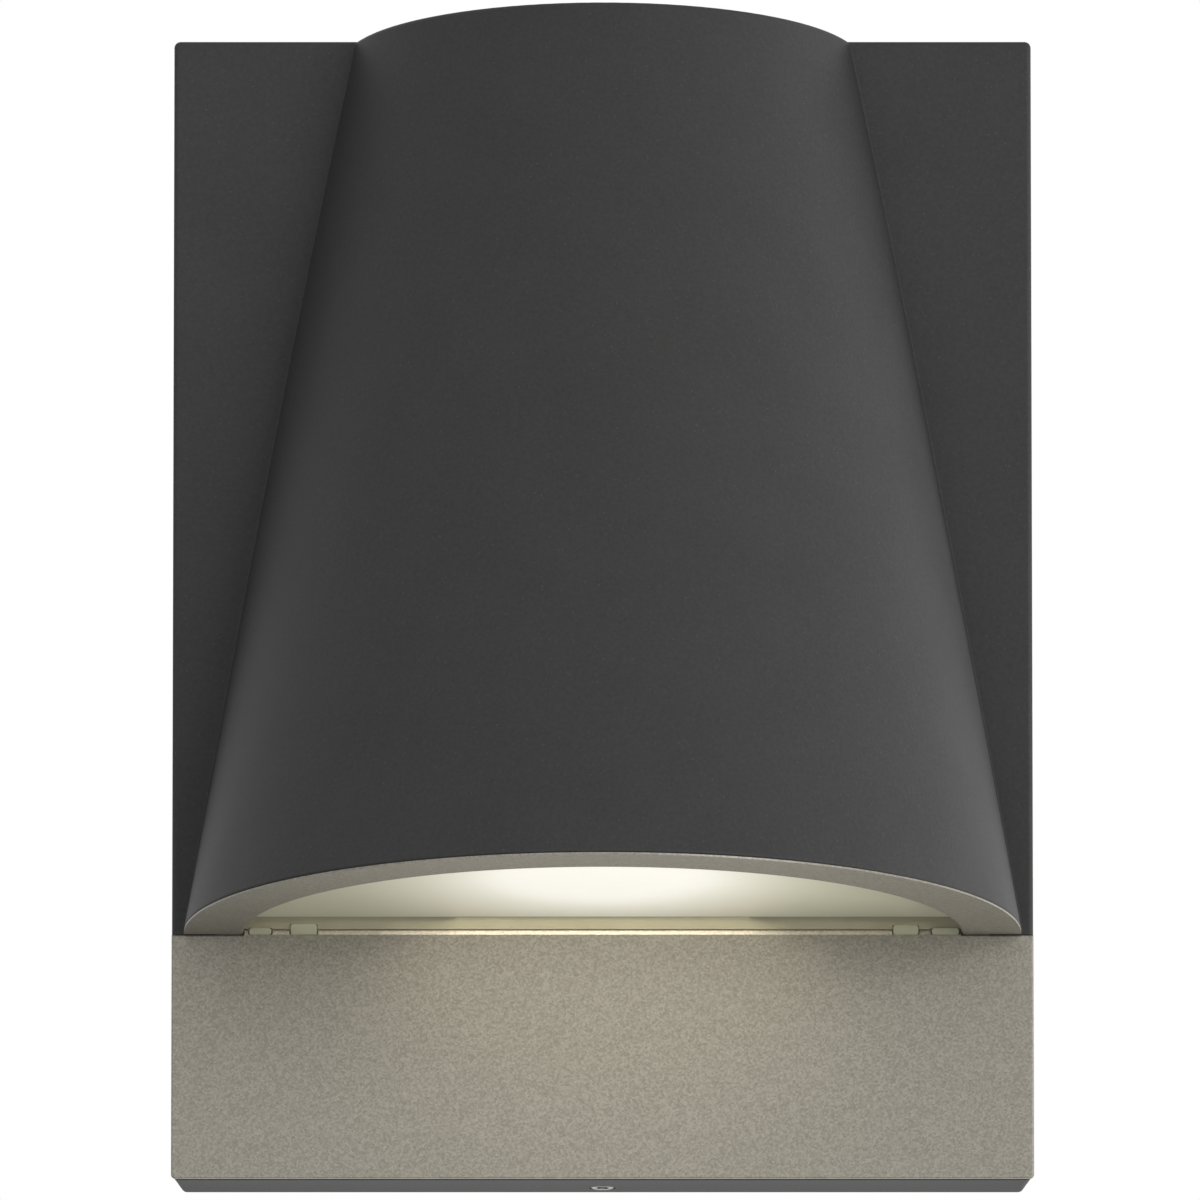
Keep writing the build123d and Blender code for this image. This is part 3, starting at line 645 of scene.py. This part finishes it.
# Floor: a pale painted studio floor, matt and a little cloudy. It lies so far below the light
# that the light can be looked at from below.
floor_drop = 6.0
floor_half = 40.0
floor_mesh = bpy.data.meshes.new("floor")
floor_mesh.from_pydata(
    [
        (-floor_half, -floor_half, -floor_drop),
        (floor_half, -floor_half, -floor_drop),
        (floor_half, floor_half, -floor_drop),
        (-floor_half, floor_half, -floor_drop),
    ],
    [],
    [(0, 1, 2, 3)],
)
floor = bpy.data.objects.new("floor", floor_mesh)
bpy.context.scene.collection.objects.link(floor)
pale_floor, tree, place = new_finish("pale_studio_floor")
paint_cloud = 600 * millimetre
cloudy = add_node(
    tree,
    "ShaderNodeTexNoise",
    values={"Scale": 1 / paint_cloud},
    links={"Vector": (place, "Object")},
)
paint_tone = add_node(tree, "ShaderNodeValToRGB", links={"Fac": (cloudy, "Fac")})
paint_tone.color_ramp.elements[0].color = linear("#e3e3e1")
paint_tone.color_ramp.elements[1].color = linear("#e9e9e7")
matt = add_node(
    tree,
    "ShaderNodeBsdfPrincipled",
    values={"Roughness": 0.9},
    links={"Base Color": (paint_tone, "Color")},
)
add_node(tree, "ShaderNodeOutputMaterial", links={"Surface": (matt, "BSDF")})
floor_mesh.materials.append(pale_floor)

# White tent: thin white cloth all round the set, lit from outside, which gives soft light from
# every side. The camera, gloss and glass see it as plain white.
tent_strength = 0.58
white_strength = 1.0
tent = bpy.data.worlds.new("white_tent")
bpy.context.scene.world = tent
tent.use_nodes = True
tree = tent.node_tree
tree.nodes.clear()
soft_white = add_node(
    tree,
    "ShaderNodeBackground",
    values={"Color": linear("#ffffff"), "Strength": tent_strength},
)
plain_white = add_node(
    tree,
    "ShaderNodeBackground",
    values={"Color": linear("#ffffff"), "Strength": white_strength},
)
path = add_node(tree, "ShaderNodeLightPath")
seen_or_gloss = add_node(
    tree,
    "ShaderNodeMath",
    settings={"operation": "MAXIMUM"},
    links={0: (path, "Is Camera Ray"), 1: (path, "Is Glossy Ray")},
)
seen = add_node(
    tree,
    "ShaderNodeMath",
    settings={"operation": "MAXIMUM"},
    links={0: (seen_or_gloss, 0), 1: (path, "Is Transmission Ray")},
)
both = add_node(
    tree, "ShaderNodeMixShader", links={0: (seen, 0), 1: (soft_white, 0), 2: (plain_white, 0)}
)
add_node(tree, "ShaderNodeOutputWorld", links={"Surface": (both, 0)})

# Studio lamps: a large soft box to the right, a small one beside the light with a filter that
# keeps it out of the gloss, a weaker one in front, and the glow of the wall that the light
# shines on below itself. Places and sizes are in metres, power in watts.
middle = (0.0, 0.0, 0.0)
for name, spot, size, power, aim, in_gloss in (
    ("right_soft_box", (1.15, -1.6, 0.1), 1.2, 21.0, middle, True),
    ("near_right_soft_box", (0.8, 0.15, -0.25), 0.4, 12.0, (0.0, 0.0, -0.03), False),
    ("front_soft_box", (-0.5, -2.0, -0.45), 1.4, 9.0, middle, True),
    ("wall_below", (0.0, 0.0, -0.2), 0.16, 0.13, (0.0, -0.1, -0.15), True),
):
    lamp = bpy.data.lights.new(name, "AREA")
    lamp.size = size
    lamp.energy = power
    soft_box = bpy.data.objects.new(name, lamp)
    bpy.context.scene.collection.objects.link(soft_box)
    soft_box.location = spot
    soft_box.rotation_euler = (Vector(aim) - Vector(spot)).to_track_quat("-Z", "Y").to_euler()
    soft_box.visible_camera = False
    soft_box.visible_glossy = in_gloss

# Camera: straight in front and a little below the light, looking up at it through a long lens.
# Its frame is taken as 1200 pixels wide, and the scale is that of the panel's front.
frame_pixels = 1200
pixels_per_metre = 6371.0
camera_distance = 5.0
look_up = math.radians(11.67)
target = Vector((-0.4 * millimetre, panel_low.y, 1.2 * millimetre))
camera_data = bpy.data.cameras.new("camera")
camera_data.sensor_width = 36.0
camera_data.lens = camera_data.sensor_width * pixels_per_metre * camera_distance / frame_pixels
camera_data.clip_end = 50.0
camera = bpy.data.objects.new("camera", camera_data)
bpy.context.scene.collection.objects.link(camera)
sight = Vector((0.0, math.cos(look_up), math.sin(look_up)))
camera.location = target - sight * camera_distance
camera.rotation_euler = sight.to_track_quat("-Z", "Y").to_euler()
bpy.context.scene.camera = camera
bpy.context.scene.view_settings.view_transform = "Standard"
